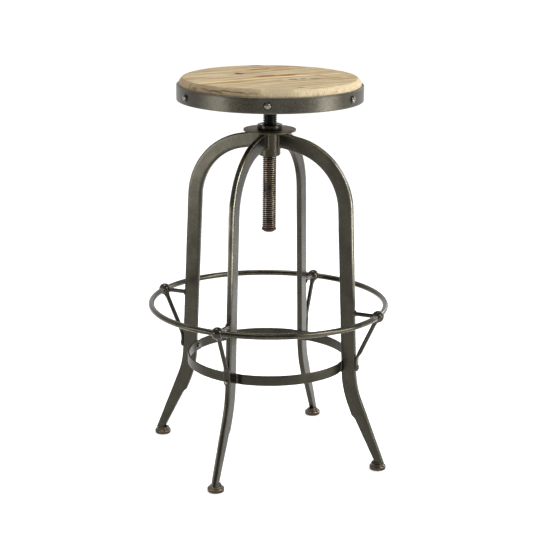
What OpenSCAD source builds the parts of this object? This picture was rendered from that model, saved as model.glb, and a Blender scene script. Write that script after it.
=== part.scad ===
// Swivel bar stool: a round plank seat on a threaded spindle, which screws through a nut at the
// crown of four bent flat-bar legs. A round foot rail stands off the legs on ball brackets, and a
// flat hoop ties the legs together inside. Millimetres, +Z up, origin on the floor below the spindle.
// Front is the -Y side, and left and right are as seen from there.

/* [Seat] */
// Height of the seat's top above the floor, with the spindle at rest
seat_h = 753.5; // [735:0.5:830]
// Outer diameter of the steel band round the planks
band_d = 356; // [320:1:400]
// Height of the band
band_h = 29.3; // [24:0.1:34]
// Thickness of the band
band_t = 4; // [2:0.5:6]
// How far the band's lower edge hangs below the planks
band_drop = 4.6; // [0:0.1:6]
// Gap between the planks' edge and the band
band_gap = 0.4; // [0.2:0.1:0.9]
// Thickness of the planks
wood_t = 38.5; // [34:0.5:44]
// Size of the bevel round the seat's top edge
bevel = 7.5; // [2:0.5:9]
// Direction of the planks, counter-clockwise from +X
grain_a = 29; // [0:1:179]
// Offset of the front seam from the axis, across the planks
seam_front = -25.6; // [-60:0.1:-20]
// Offset of the back seam from the axis, across the planks
seam_back = 80; // [65:1:85]
// Number of rivets through the band
rivets = 6; // [4:1:10]
// Direction of the first band rivet
rivet_a = 268.6; // [240:0.1:300]
// Diameter of a band rivet's dome
rivet_d = 15.6; // [9:0.1:18]
// Height of a band rivet's dome
rivet_h = 5; // [3:0.1:6]
// Diameter of a band rivet's shank
rivet_shank_d = 5; // [3:0.5:7]
// How deep a band rivet goes into the wood
rivet_depth = 20; // [12:1:30]

/* [Seat mounting] */
// Diameter of the flange plate under the planks
flange_d = 210; // [200:1:230]
// Thickness of the flange plate
flange_t = 5; // [3:0.5:7]
// Distance of the screws from the flange plate's edge
flange_margin = 13; // [9:1:15]
// Diameter of a flange screw's shank
screw_d = 4.8; // [3.5:0.1:6]
// Length of a flange screw below its head
screw_l = 28; // [20:1:34]
// Diameter of a flange screw's head
screw_head_d = 11; // [9:0.5:13]
// Height of a flange screw's head
screw_head_h = 3.6; // [2:0.1:5]
// Rounding of a flange screw's head
screw_head_edge = 0.9; // [0.3:0.1:1]
// Number of screws through the flange plate
screws = 6; // [4:1:8]
// Diameter of the boss that carries the spindle's head
boss_d = 42; // [36:1:60]
// Height of the boss
boss_h = 18; // [10:0.5:22]
// Chamfer round the boss's lower end
boss_chamfer = 2; // [1:0.5:4]

/* [Spindle] */
// Outer diameter of the spindle's thread
spindle_d = 26.6; // [24:0.1:30]
// Length of the spindle below the flange plate
spindle_l = 249.8; // [220:0.1:270]
// Pitch of the thread
pitch = 4; // [3:0.5:5]
// Depth of the thread
thread_depth = 1.9; // [1.4:0.1:2.1]
// Radial gap between the thread and the nut
nut_gap = 0.5; // [0.4:0.05:0.7]
// Axial gap between the thread's flanks and the nut's
flank_gap = 0.3; // [0.2:0.05:0.4]
// Diameter of the loose stop washer at the spindle's lower end
washer_d = 28.4; // [27:0.1:34]
// Thickness of the stop washer
washer_t = 3.8; // [2:0.1:5]
// Rounding of the washer's rim
washer_edge = 0.9; // [0.3:0.1:0.9]
// Gap between the washer and its screw
washer_gap = 0.3; // [0.1:0.1:0.5]
// Play of the washer between the spindle and its screw
washer_play = 0.1; // [0.05:0.05:0.3]
// Diameter of the stop screw's shank
stop_screw_d = 8; // [6:0.5:9]
// Length of the stop screw inside the spindle
stop_screw_l = 20; // [12:1:30]
// Diameter of the stop screw's head
stop_head_d = 21; // [15:0.5:24]
// Height of the stop screw's head
stop_head_h = 2.6; // [2:0.1:5]
// Rounding of the stop screw's head
stop_head_edge = 0.8; // [0.3:0.1:0.9]

/* [Crown] */
// Gap between the boss and the nut's collar below it, with the spindle at rest
rest_gap = 28.7; // [10:0.1:60]
// Diameter of the hub that the legs are welded to
hub_d = 41.6; // [38:0.1:46]
// Length of the hub
hub_l = 48.1; // [46.6:0.1:54]
// Chamfer round the hub's lower end
hub_chamfer = 2.5; // [1:0.5:4]
// Radial gap between the spindle and the hub's bore
hub_gap = 0.4; // [0.3:0.1:0.9]
// Diameter of the cover plate on the hub
plate_d = 101; // [70:1:120]
// Thickness of the cover plate
plate_t = 3.5; // [2:0.5:5]
// Rounding of the plate's rim
plate_edge = 0.9; // [0.3:0.1:0.9]
// Diameter of the nut's collar
collar_d = 48.2; // [42:0.1:56]
// Height of the nut's collar
collar_h = 9.3; // [6:0.1:12]
// Rounding of the collar's rim
collar_edge = 1.8; // [0.5:0.1:2.5]
// Width and depth of the counterbore round the thread's upper end
nut_mouth_w = 1; // [0.5:0.5:2]
nut_mouth_h = 2; // [1:0.5:3]
// Diameter of the nut's barrel inside the hub
barrel_d = 35; // [32:0.1:37]
// Length of the nut's barrel below its collar
barrel_l = 26; // [20:1:36]
// Radial gap between the nut's barrel and the hub
barrel_gap = 0.1; // [0.05:0.05:0.3]

/* [Legs] */
// Direction of the first leg, counter-clockwise from +X
leg_a = 66; // [45:1:80]
// Width of a leg's bar, along the stool's radius
leg_w = 29; // [24:0.5:32]
// Thickness of a leg's bar
leg_t = 10.6; // [8:0.1:13]
// Rounding of the bar's long edges
leg_edge = 2.5; // [1:0.1:3]
// Height of a leg's centre line at the hub, above the hub's lower end
leg_rise = 32.2; // [30:0.1:32.5]
// Slope of a leg where it leaves the hub
leg_dip = 11; // [8:1:14]
// Straight length of a leg beside the hub
shoulder_l = 39.2; // [34:0.1:46]
// Radius of a leg's shoulder bend, on the bar's centre line
shoulder_r = 123.2; // [115:0.1:130]
// Outward slope of a leg's long straight, off the vertical
leg_splay = 2.4; // [1.5:0.1:3.5]
// Height where a leg begins to bend outward
knee_z = 190; // [180:1:196]
// Radius of the outward bend
knee_r = 175.4; // [160:0.1:190]
// Angle of the outward bend
knee_turn = 19.8; // [17:0.1:22]
// Width of a leg at its foot
tip_w = 16; // [13:0.5:19]
// Length of the narrowed part of a leg
taper_l = 93.6; // [80:0.1:100]
// Width of a leg where the long taper begins
taper_w = 24.6; // [21:0.1:26]
// Length of the short step from the full width to the taper
taper_step = 12.4; // [8:0.1:16]

/* [Feet] */
// Diameter of a foot
foot_d = 32.6; // [29:0.1:38]
// Height of a foot's rim
foot_h = 8.4; // [7:0.1:11]
// Rounding of a foot's rim
foot_edge = 2.8; // [1:0.1:3.4]
// Diameter of the raised shoulder that carries the leg
neck_d = 24; // [21:0.5:26]
// Height of the shoulder above the rim
neck_h = 3.4; // [3:0.1:5]
// Rounding of the shoulder's rim
neck_edge = 1.1; // [0.5:0.1:1.4]
// Diameter of the pad under a foot
pad_d = 24; // [18:0.5:25]
// Thickness of a pad
pad_t = 3.2; // [2.4:0.1:4]
// How far a pad stands out of its foot
pad_out = 1.1; // [0.5:0.1:1.8]
// Gap between a pad and its recess
pad_gap = 0.2; // [0.1:0.1:0.5]

/* [Foot rail] */
// Height of the rail's centre above the floor
rail_z = 309.2; // [290:0.1:340]
// Radius of the rail's centre line
rail_r = 229; // [222:0.5:236]
// Diameter of the rail's rod
rail_d = 11.6; // [9:0.1:13]
// Diameter of the ball that the rail passes through
ball_d = 23.4; // [20:0.1:26]
// Gap between the rail and the ball's hole
ball_gap = 0.15; // [0.1:0.05:0.3]
// Diameter of the rod between a leg and its ball
strut_d = 8.2; // [6:0.1:10]
// Diameter of the strut's flared ends
strut_flare_d = 12; // [10:0.5:14]
// Length of each flare
strut_flare_l = 4; // [2:0.5:6]
// Diameter of the sloping brace
brace_d = 8.4; // [6:0.1:10]
// Diameter of the skirt where the brace meets the ball
skirt_d = 13; // [11:0.5:15]
// Length of the skirt
skirt_l = 9; // [5:0.5:12]
// Width of the brace's flattened tab
tab_w = 13; // [11:0.5:15]
// Thickness of the tab
tab_t = 4; // [3:0.5:5]
// Length of the tab above its rivet
tab_up = 22; // [16:1:30]
// Length of the tab below its rivet
tab_down = 7; // [6.6:0.1:10]

/* [Hoop] */
// Height of the hoop's lower edge above the knee
hoop_rise = 0; // [0:0.5:20]
// Width of the hoop's flat steel
hoop_h = 19.6; // [16:0.1:24]
// Thickness of the hoop's steel
hoop_t = 3.5; // [2.5:0.5:5]
// How far the hoop bulges out past its flat lands
hoop_joggle = 1.6; // [1:0.1:2]
// Length of the flat land against each leg
land_l = 27; // [22:0.5:30]
// How far a land runs into the round parts beside it
land_lap = 0.3; // [0.1:0.1:0.5]
// Height of a leg rivet above the hoop's lower edge
leg_rivet_rise = 12; // [8:0.5:13]
// Diameter of a leg rivet's shank
leg_rivet_d = 6; // [4:0.5:7]
// Diameter of a leg rivet's heads
leg_rivet_head_d = 10.4; // [9:0.1:12]
// Height of a leg rivet's heads
leg_rivet_head_h = 3.2; // [2:0.1:4]
// Gap round a rivet or screw in its hole
hole_gap = 0.1; // [0.05:0.05:0.3]

/* [Hidden] */
$fn = 64;
// Sides of the thread's polygon, equal for spindle and nut
thread_sides = 16;
// Rows of the thread's profile in one pitch
rows = 4;
// Shares of the pitch that the crest and one flank take
crest_share = 0.3;
flank_share = 0.2;
// Least height of a row of the thread's profile above or below a flat end
row_gap = 0.01;
// Overrun of a cutting tool past the face that it cuts
over = 5;
// How much deeper a blind hole is than what goes into it
hole_spare = 1;
// How far a rod is sunk into the piece that it meets
sink = 1;

wood_z = seat_h - wood_t;
band_r = band_d / 2;
band_z = wood_z - band_drop;
wood_r = band_r - band_t - band_gap;
rivet_z = band_z + band_h / 2;
flange_z = wood_z - flange_t;
screw_r = flange_d / 2 - flange_margin;
boss_z = flange_z - boss_h;

spindle_r = spindle_d / 2;
spindle_z = flange_z - spindle_l;
crest_w = crest_share * pitch;
flank_w = flank_share * pitch;
nut_crest_w = crest_w + 2 * flank_gap - 2 * nut_gap * flank_w / thread_depth;
washer_z = spindle_z - washer_play - washer_t;
stop_z = washer_z - washer_play;
tapped_r = (stop_screw_d / 2 + hole_gap) / cos(180 / thread_sides);

hub_r = hub_d / 2;
plate_top = boss_z - rest_gap - collar_h;
hub_top = plate_top - plate_t;
hub_z = hub_top - hub_l;
barrel_z = plate_top - barrel_l;
barrel_bore_r = barrel_d / 2 + barrel_gap;

foot_top = pad_out + foot_h + neck_h;

// Headings of a leg's three straights, measured up from the outward radius
dip_a = -leg_dip;
post_a = leg_splay - 90;
toe_a = post_a + knee_turn;
// Points of a leg's centre line, as [radius, height]
leg_start = [hub_r, hub_z + leg_rise];
shoulder_start = leg_start + shoulder_l * heading(dip_a);
shoulder_end = shoulder_start - shoulder_r * left(dip_a) + shoulder_r * left(post_a);
post_l = (shoulder_end[1] - knee_z) / cos(leg_splay);
knee_start = shoulder_end + post_l * heading(post_a);
knee_end = knee_start + knee_r * left(post_a) - knee_r * left(toe_a);
toe_l = (knee_end[1] - foot_top) / -sin(toe_a);
toe_end = knee_end + toe_l * heading(toe_a);
foot_r = toe_end[0] + foot_top / 2 * cos(toe_a) / -sin(toe_a);
leg_face = leg_w / 2 / cos(leg_splay);
// How far a leg's bar reaches into the hub and the foot before it is cut to them
leg_spare = 12;
// How far a straight runs into a bend, and how much thicker all round the bend is than the straight
leg_lap = 1;
bend_swell = 0.05;

hoop_z = knee_z + hoop_rise;
land_r = post_r(hoop_z + hoop_h) - leg_face;
hoop_r = land_r + hoop_joggle;
leg_rivet_z = hoop_z + leg_rivet_rise;
// How far the upright hoop stands off the sloping leg at the lower edge of the rivet's inner head
hoop_lean = (hoop_h - leg_rivet_rise + leg_rivet_head_d) * sin(leg_splay);
ball_r = ball_d / 2;
// Height of the brace's lower end above the leg rivet, in the middle of the tab's upper part
brace_foot = tab_up - brace_d / 2;

CORNERS = ["back_right", "back_left", "front_left", "front_right"];
PLANKS = ["front", "middle", "back"];

steel = [0.27, 0.27, 0.25];
dark_steel = [0.2, 0.19, 0.18];
worn_steel = [0.36, 0.29, 0.24];
timber = [0.76, 0.65, 0.48];
rubber = [0.08, 0.08, 0.08];

function heading(a) = [cos(a), sin(a)];
function left(a) = [-sin(a), cos(a)];

// Radius of a leg's centre line at a height on its long straight
function post_r(z) = shoulder_end[0] + (shoulder_end[1] - z) * tan(leg_splay);

// Radius of the thread at a height above the middle of its crest
function thread_r(u, crest, root, width) =
    let (v = abs(u - pitch * round(u / pitch)) - width / 2)
    v <= 0 ? crest : v >= flank_w ? root : crest + (root - crest) * v / flank_w;

// Places its children at one corner, with the radius along +X
module corner(i) {
    rotate([0, 0, leg_a + 90 * i]) children();
}

// Places its children on a leg's outer face at a height, with +X out of the face
module on_leg_face(z) {
    translate([post_r(z) + leg_face, 0, z]) rotate([0, -leg_splay, 0]) children();
}

// Keeps what of its children lies outside a leg's outer face
module outside_leg() {
    difference() {
        children();
        on_leg_face(rail_z) translate([-rail_r, -rail_r / 2, -rail_r]) cube([rail_r, rail_r, 2 * rail_r]);
    }
}

// Disc with a rounded rim, standing on z = 0
module puck(r, h, e) {
    rotate_extrude() {
        square([r - e, h]);
        translate([0, e]) square([r, h - 2 * e]);
        translate([r - e, e]) circle(e);
        translate([r - e, h - e]) circle(e);
    }
}

// Half profile of a domed head of diameter d and height h, standing on y = 0
module dome_section(d, h) {
    dome_r = (d * d / 4 + h * h) / (2 * h);
    intersection() {
        translate([0, h - dome_r]) circle(dome_r);
        square([d, h]);
    }
}

// Rivet along X: its domed head stands on the plane x = 0, and its shank ends at x = -l, with a
// second dome there if tail_h is above 0
module rivet(head_d, head_h, shank_d, l, tail_h = 0) {
    rotate([0, 90, 0]) rotate_extrude() {
        dome_section(head_d, head_h);
        translate([0, -l]) square([shank_d / 2, l + head_h / 2]);
        if (tail_h > 0) translate([0, -l]) mirror([0, 1]) dome_section(head_d, tail_h);
    }
}

// Screw-threaded rod from z0 to z1 with flat ends, and with a blind hole up its lower end if
// hole_r is above 0. Each of the columns round the rod follows the thread's profile, so column n
// is column 0 one pitch higher.
module threaded_rod(z0, z1, crest, root, width, hole_r = 0, hole_l = 0) {
    n = thread_sides;
    offsets = [-width / 2, width / 2, width / 2 + flank_w, pitch - width / 2 - flank_w];
    height = function (j) pitch * floor(j / rows) + offsets[j - rows * floor(j / rows)];
    shift = [for (k = [0:n]) pitch * k / n];
    // First and last rows of each column that lie between the flat ends
    first = [for (k = [0:n]) let (u = z0 - shift[k], j = rows * floor(u / pitch))
        [for (i = [j - 1:j + rows + 1]) if (height(i) > u + row_gap) i][0]];
    last = [for (k = [0:n]) let (u = z1 - shift[k], j = rows * floor(u / pitch))
        max([for (i = [j - 2:j + rows + 1]) if (height(i) < u - row_gap) i])];
    size = [for (k = [0:n - 1]) last[k] - first[k] + 3];
    start = [for (k = 0, sum = 0; k < n; sum = sum + size[k], k = k + 1) sum];
    columns = [for (k = [0:n - 1])
        each [for (z = [z0, for (j = [first[k]:last[k]]) height(j) + shift[k], z1])
            let (r = thread_r(z - shift[k], crest, root, width)) [each r * heading(360 * k / n), z]]];
    id = function (k, j) k < n ? start[k] + 1 + j - first[k] : 1 + j + rows - first[0];
    low = function (k) start[k % n];
    high = function (k) start[k % n] + size[k % n] - 1;
    flanks = [for (k = [0:n - 1], j = [first[k]:last[k + 1] - 1]) each
        [[id(k, j), id(k, j + 1), id(k + 1, j)], [id(k + 1, j), id(k, j + 1), id(k + 1, j + 1)]]];
    foot = [for (k = [0:n - 1])
        let (path = [low(k), low(k + 1), for (j = [first[k + 1]:first[k]]) id(k + 1, j)])
            for (i = [0:len(path) - 2]) [path[i], id(k, first[k]), path[i + 1]]];
    head = [for (k = [0:n - 1])
        let (path = [for (j = [last[k + 1]:last[k]]) id(k, j), high(k), high(k + 1)])
            for (i = [0:len(path) - 2]) [path[i], path[i + 1], id(k + 1, last[k + 1])]];
    lid = [[for (k = [n - 1:-1:0]) high(k)]];
    m = len(columns);
    hole = [for (z = [z0, z0 + hole_l], k = [0:n - 1]) [each hole_r * heading(360 * k / n), z]];
    hole_faces = [for (k = [0:n - 1]) let (a = m + k, b = m + (k + 1) % n) each
        [[low(k), low(k + 1), a], [low(k + 1), b, a], [a, b, a + n], [b, b + n, a + n]]];
    base = hole_r == 0 ? [[for (k = [0:n - 1]) low(k)]]
        : concat(hole_faces, [[for (k = [0:n - 1]) m + n + k]]);
    polyhedron(hole_r == 0 ? columns : concat(columns, hole),
        concat(flanks, foot, head, lid, base), convexity = 10);
}

module at_band_rivets() {
    for (i = [0:rivets - 1])
        rotate([0, 0, rivet_a + 360 * i / rivets]) translate([band_r, 0, rivet_z]) children();
}

module at_flange_screws() {
    for (i = [0:screws - 1])
        rotate([0, 0, grain_a + 360 * (i + 0.5) / screws]) translate([screw_r, 0, flange_z]) children();
}

// One plank of the seat, cut from the bevelled disc between two seams
module seat_plank(from, to) {
    color(timber) difference() {
        intersection() {
            rotate_extrude() polygon([
                [0, wood_z],
                [wood_r, wood_z],
                [wood_r, seat_h - bevel],
                [wood_r - bevel, seat_h],
                [0, seat_h]
            ]);
            rotate([0, 0, grain_a]) translate([-band_d, from, wood_z - over])
                cube([2 * band_d, to - from, wood_t + 2 * over]);
        }
        at_band_rivets() rotate([0, -90, 0])
            cylinder(d = rivet_shank_d + 2 * hole_gap, h = rivet_depth + band_t + hole_spare);
        at_flange_screws() cylinder(d = screw_d + 2 * hole_gap, h = screw_l + hole_spare);
    }
}

module seat_band() {
    color(steel) difference() {
        translate([0, 0, band_z]) cylinder(r = band_r, h = band_h);
        translate([0, 0, band_z - over]) cylinder(r = band_r - band_t, h = band_h + 2 * over);
        at_band_rivets() translate([over, 0, 0]) rotate([0, -90, 0])
            cylinder(d = rivet_shank_d + 2 * hole_gap, h = band_t + 2 * over);
    }
}

// Six solids: each dome sits on the band, and its shank runs through it into the wood
module band_rivets() {
    color(worn_steel) at_band_rivets() rivet(rivet_d, rivet_h, rivet_shank_d, rivet_depth + band_t);
}

module seat_flange() {
    color(dark_steel) difference() {
        translate([0, 0, flange_z]) cylinder(d = flange_d, h = flange_t);
        at_flange_screws() translate([0, 0, -over])
            cylinder(d = screw_d + 2 * hole_gap, h = flange_t + 2 * over);
    }
}

module flange_screws() {
    color(worn_steel) at_flange_screws() {
        translate([0, 0, -screw_head_h]) puck(screw_head_d / 2, screw_head_h, screw_head_edge);
        cylinder(d = screw_d, h = screw_l);
    }
}

module spindle_boss() {
    color(dark_steel) translate([0, 0, boss_z]) difference() {
        union() {
            cylinder(d1 = boss_d - 2 * boss_chamfer, d2 = boss_d, h = boss_chamfer);
            translate([0, 0, boss_chamfer]) cylinder(d = boss_d, h = boss_h - boss_chamfer);
        }
        translate([0, 0, -over]) cylinder(r = spindle_r + hole_gap, h = boss_h + 2 * over);
    }
}

module spindle() {
    color(dark_steel) threaded_rod(spindle_z, flange_z, spindle_r, spindle_r - thread_depth, crest_w,
        tapped_r, stop_screw_l + hole_spare);
}

module stop_washer() {
    color(dark_steel) translate([0, 0, washer_z]) difference() {
        puck(washer_d / 2, washer_t, washer_edge);
        translate([0, 0, -over]) cylinder(r = stop_screw_d / 2 + washer_gap, h = washer_t + 2 * over);
    }
}

module stop_screw() {
    shank_l = stop_screw_l + washer_t + 2 * washer_play;
    color(worn_steel) translate([0, 0, stop_z]) {
        translate([0, 0, -stop_head_h]) puck(stop_head_d / 2, stop_head_h, stop_head_edge);
        cylinder(d = stop_screw_d, h = shank_l);
    }
}

// Flanged nut: a collar above the cover plate and a threaded barrel inside the hub
module spindle_nut() {
    color(dark_steel) difference() {
        union() {
            translate([0, 0, plate_top]) puck(collar_d / 2, collar_h, collar_edge);
            translate([0, 0, barrel_z]) cylinder(d = barrel_d, h = barrel_l + collar_h / 2);
        }
        translate([0, 0, plate_top + collar_h - nut_mouth_h])
            cylinder(r = spindle_r + nut_gap + nut_mouth_w, h = nut_mouth_h + over);
        threaded_rod(barrel_z - over, plate_top + collar_h + over, spindle_r + nut_gap,
            spindle_r - thread_depth + nut_gap, nut_crest_w);
    }
}

module cover_plate() {
    color(steel) difference() {
        translate([0, 0, hub_top]) puck(plate_d / 2, plate_t, plate_edge);
        translate([0, 0, hub_top - over]) cylinder(r = barrel_bore_r, h = plate_t + 2 * over);
    }
}

module hub() {
    color(steel) difference() {
        union() {
            translate([0, 0, hub_z]) cylinder(r1 = hub_r - hub_chamfer, r2 = hub_r, h = hub_chamfer);
            translate([0, 0, hub_z + hub_chamfer]) cylinder(r = hub_r, h = hub_l - hub_chamfer);
        }
        translate([0, 0, hub_z - over]) cylinder(r = spindle_r + hub_gap, h = hub_l + 2 * over);
        translate([0, 0, barrel_z]) cylinder(r = barrel_bore_r, h = hub_l);
    }
}

// Section of the legs' flat bar, with rounded edges, grown by g all round
module bar_section(g) {
    e = leg_edge;
    square([leg_w - 2 * e, leg_t + 2 * g], center = true);
    square([leg_w + 2 * g, leg_t - 2 * e], center = true);
    for (x = [-1, 1], y = [-1, 1])
        translate([x * (leg_w / 2 - e), y * (leg_t / 2 - e)]) circle(e + g);
}

// Straight bar along +X in the plane z = 0, with its width along Y, which runs a little way into its
// neighbours; children go on from its end
module run(l) {
    translate([-leg_lap, 0, 0]) rotate([90, 0, 90]) linear_extrude(l + 2 * leg_lap) bar_section(0);
    translate([l, 0, 0]) children();
}

// Bend from the origin, towards -Y where side is -1 and towards +Y where it is 1; children go on
// from its end
module turn(r, a, side) {
    mirror([0, side < 0 ? 1 : 0, 0]) translate([0, r, 0]) rotate([0, 0, -90])
        rotate_extrude(angle = a) translate([r, 0]) bar_section(bend_swell);
    translate([0, side * r, 0]) rotate([0, 0, side * a]) translate([0, -side * r, 0]) children();
}

// Places its children on the leg's centre line, heading along it
module on_path(p, a) {
    translate([p[0], p[1], 0]) rotate([0, 0, a]) children();
}

// One leg in the plane of its own radius: straight, shoulder, post, knee and tapered toe
module leg(i) {
    color(steel) corner(i) difference() {
        rotate([90, 0, 0]) on_path(leg_start, dip_a) translate([-leg_spare, 0, 0])
            run(shoulder_l + leg_spare) turn(shoulder_r, dip_a - post_a, -1)
            run(post_l) turn(knee_r, knee_turn, 1) run(toe_l + leg_spare);
        rotate([90, 0, 0]) on_path(toe_end, toe_a) taper();
        cylinder(r = hub_r, h = seat_h);
        translate([foot_r - foot_d, -foot_d, -over]) cube([2 * foot_d, 2 * foot_d, foot_top + over]);
        on_leg_face(leg_rivet_z) translate([-2 * leg_w, 0, 0]) rotate([0, 90, 0])
            cylinder(d = leg_rivet_d + 2 * hole_gap, h = 3 * leg_w);
    }
}

// What is forged away from the toe's inner side
module taper() {
    inner = -leg_w / 2;
    step = leg_w / 2 - taper_w;
    slope = (taper_w - tip_w) / taper_l;
    linear_extrude(2 * leg_t, center = true) polygon([
        [-taper_l - taper_step, inner],
        [-taper_l, step],
        [leg_spare + over, step + slope * (taper_l + leg_spare + over)],
        [leg_spare + over, inner - over],
        [-taper_l - taper_step, inner - over]
    ]);
}

module foot(i) {
    color(worn_steel) corner(i) translate([foot_r, 0, pad_out]) difference() {
        union() {
            puck(foot_d / 2, foot_h, foot_edge);
            translate([0, 0, foot_h - foot_edge]) puck(neck_d / 2, neck_h + foot_edge, neck_edge);
        }
        translate([0, 0, -over]) cylinder(r = pad_d / 2 + pad_gap, h = pad_t - pad_out + over);
    }
}

module foot_pad(i) {
    color(rubber) corner(i) translate([foot_r, 0, 0]) cylinder(d = pad_d, h = pad_t);
}

module foot_rail() {
    color(steel) translate([0, 0, rail_z]) rotate_extrude() translate([rail_r, 0]) circle(d = rail_d);
}

// Ball with a true hole for the rail, on a strut welded to the leg
module rail_bracket(i) {
    strut_end = rail_r - ball_r + sink;
    strut_start = post_r(rail_z) + leg_face - sink;
    color(steel) corner(i) difference() {
        outside_leg() {
            translate([rail_r, 0, rail_z]) sphere(ball_r);
            translate([strut_start, 0, rail_z]) rotate([0, 90, 0]) {
                cylinder(d = strut_d, h = strut_end - strut_start);
                cylinder(d1 = strut_flare_d, d2 = strut_d, h = strut_flare_l + sink);
                translate([0, 0, strut_end - strut_start - strut_flare_l - sink])
                    cylinder(d1 = strut_d, d2 = strut_flare_d, h = strut_flare_l + sink);
            }
        }
        translate([0, 0, rail_z]) rotate_extrude() translate([rail_r, 0]) circle(d = rail_d + 2 * ball_gap);
    }
}

// Sloping rod from under the ball to a flattened tab, which is riveted to the leg's outer face
module brace(i) {
    lower = [
        post_r(leg_rivet_z) + leg_face + tab_t / 2 - brace_foot * sin(leg_splay),
        leg_rivet_z + brace_foot * cos(leg_splay)
    ];
    rod = [rail_r, rail_z] - lower;
    rod_a = atan2(rod[0], rod[1]);
    color(steel) corner(i) difference() {
        outside_leg() {
            on_leg_face(leg_rivet_z) {
                translate([0, -tab_w / 2, 0]) cube([tab_t, tab_w, tab_up]);
                translate([0, -tab_w / 2, -tab_down + tab_w / 2]) cube([tab_t, tab_w, tab_down]);
                translate([0, 0, -tab_down + tab_w / 2]) rotate([0, 90, 0]) cylinder(d = tab_w, h = tab_t);
            }
            translate([lower[0], 0, lower[1]]) rotate([0, rod_a, 0]) {
                cylinder(d = brace_d, h = norm(rod));
                sphere(d = brace_d);
                translate([0, 0, norm(rod) - ball_r - skirt_l])
                    cylinder(d1 = brace_d, d2 = skirt_d, h = skirt_l + 2 * sink);
            }
        }
        translate([rail_r, 0, rail_z]) sphere(ball_r);
        translate([rail_r, 0, rail_z]) cylinder(r = ball_r, h = ball_d);
        on_leg_face(leg_rivet_z) translate([-over, 0, 0]) rotate([0, 90, 0])
            cylinder(d = leg_rivet_d + 2 * hole_gap, h = tab_t + 2 * over);
    }
}

// Flat hoop, round between the legs and pressed flat where it meets them
module hoop() {
    color(steel) difference() {
        translate([0, 0, hoop_z]) linear_extrude(hoop_h) {
            difference() {
                circle(hoop_r);
                circle(hoop_r - hoop_t);
                for (i = [0:3]) corner(i) translate([0, -land_l / 2]) square([2 * hoop_r, land_l]);
            }
            for (i = [0:3]) corner(i) translate([land_r - hoop_t, -land_l / 2 - land_lap])
                square([hoop_t, land_l + 2 * land_lap]);
        }
        for (i = [0:3]) corner(i) on_leg_face(leg_rivet_z) translate([-2 * leg_w, 0, 0]) rotate([0, 90, 0])
            cylinder(d = leg_rivet_d + 2 * hole_gap, h = 2 * leg_w);
    }
}

// Four solids: each rivet holds brace, leg and hoop together and is domed at both ends
module leg_rivets() {
    grip = tab_t + leg_w + hoop_t + hoop_lean;
    color(worn_steel) for (i = [0:3]) corner(i) on_leg_face(leg_rivet_z) translate([tab_t, 0, 0])
        rivet(leg_rivet_head_d, leg_rivet_head_h, leg_rivet_d, grip, leg_rivet_head_h);
}

for (i = [0:2]) {
    edges = [-band_r, seam_front, seam_back, band_r];
    seat_plank(edges[i], edges[i + 1]);
}
seat_band();
band_rivets();
seat_flange();
flange_screws();
spindle_boss();
spindle();
stop_washer();
stop_screw();
spindle_nut();
cover_plate();
hub();
foot_rail();
hoop();
leg_rivets();
for (i = [0:3]) {
    leg(i);
    foot(i);
    foot_pad(i);
    rail_bracket(i);
    brace(i);
}
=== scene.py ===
import math

import bmesh
import bpy
import numpy as np
from mathutils import Matrix, Vector, noise


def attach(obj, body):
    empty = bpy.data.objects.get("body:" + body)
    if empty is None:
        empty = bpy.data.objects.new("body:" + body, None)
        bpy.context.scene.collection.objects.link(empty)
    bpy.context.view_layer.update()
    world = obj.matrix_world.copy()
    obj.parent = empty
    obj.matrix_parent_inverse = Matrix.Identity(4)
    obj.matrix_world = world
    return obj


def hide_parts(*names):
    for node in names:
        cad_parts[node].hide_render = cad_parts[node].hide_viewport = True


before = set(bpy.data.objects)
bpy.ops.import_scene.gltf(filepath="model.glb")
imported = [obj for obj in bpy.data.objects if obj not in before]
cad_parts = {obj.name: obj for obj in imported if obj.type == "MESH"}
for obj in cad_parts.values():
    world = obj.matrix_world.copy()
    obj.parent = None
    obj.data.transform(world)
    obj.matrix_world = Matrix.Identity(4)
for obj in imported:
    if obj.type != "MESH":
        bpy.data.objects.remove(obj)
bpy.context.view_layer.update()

# The small waves of the steel come out the same each time
noise.seed_set(1)

# Sizes of the solids in millimetres, and azimuths in degrees from +X
CORNERS = {"back_right": 66, "back_left": 156, "front_left": 246, "front_right": 336}

# Planks: azimuth of the grain, and offsets of the seams across it
GRAIN = 29
SEAMS = (-25.6, 80)
WOOD_Z = 715
WOOD_TOP = 753.5
WOOD_R = 173.6

# Bevel: its width in plan, points across it, and its drop at each of them
BEVEL = 7.5
BEVEL_RUN = (0, 5.4, 6.7, BEVEL)
BEVEL_DROP = (0, 5.8, 9.5, 14)

# Band, its rivets, and the flange under the planks with its boss
BAND_R = 178
BAND_T = 4
BAND_Z = 710.4
BAND_H = 29.3
BAND_RIVET_A = 268.6
BAND_RIVET = (15.6, 5)
FLANGE_Z = 710
BOSS_R = 21

# Wood screws: radius of their circle, and their head with its socket
SCREW_R = 92
HEAD_R = 5.5
HEAD_H = 3.6
SOCKET_R = 2.6
SOCKET_D = 2

# Spindle, over its crests and in its grooves
SPINDLE_Z = 460.2
SPINDLE_R = 13.35
ROOT_R = 11.1
PITCH = 4

# Hub and legs. A leg leaves the hub LEG_FALL degrees below level, bends over the shoulder, stands SPLAY
# degrees off upright, and bends out again at the knee.
HUB_R = 20.8
HUB_TOP = 650.5
LEG_RISE_Z = 634.6
LEG_FALL = 11.0
LEG_W = 29
LEG_T = 10.6
LEG_EDGE = 2.5
SPLAY = 2.4
NECK_L = 39.2
SHOULDER_R = 123.2
SHOULDER_END = (158.864, 511.343)
POST_L = 321.625
KNEE_R = 175.4
KNEE_TURN = 19.8
SHIN_L = 127.633
FACE = LEG_W / 2 / math.cos(math.radians(SPLAY))

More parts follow.
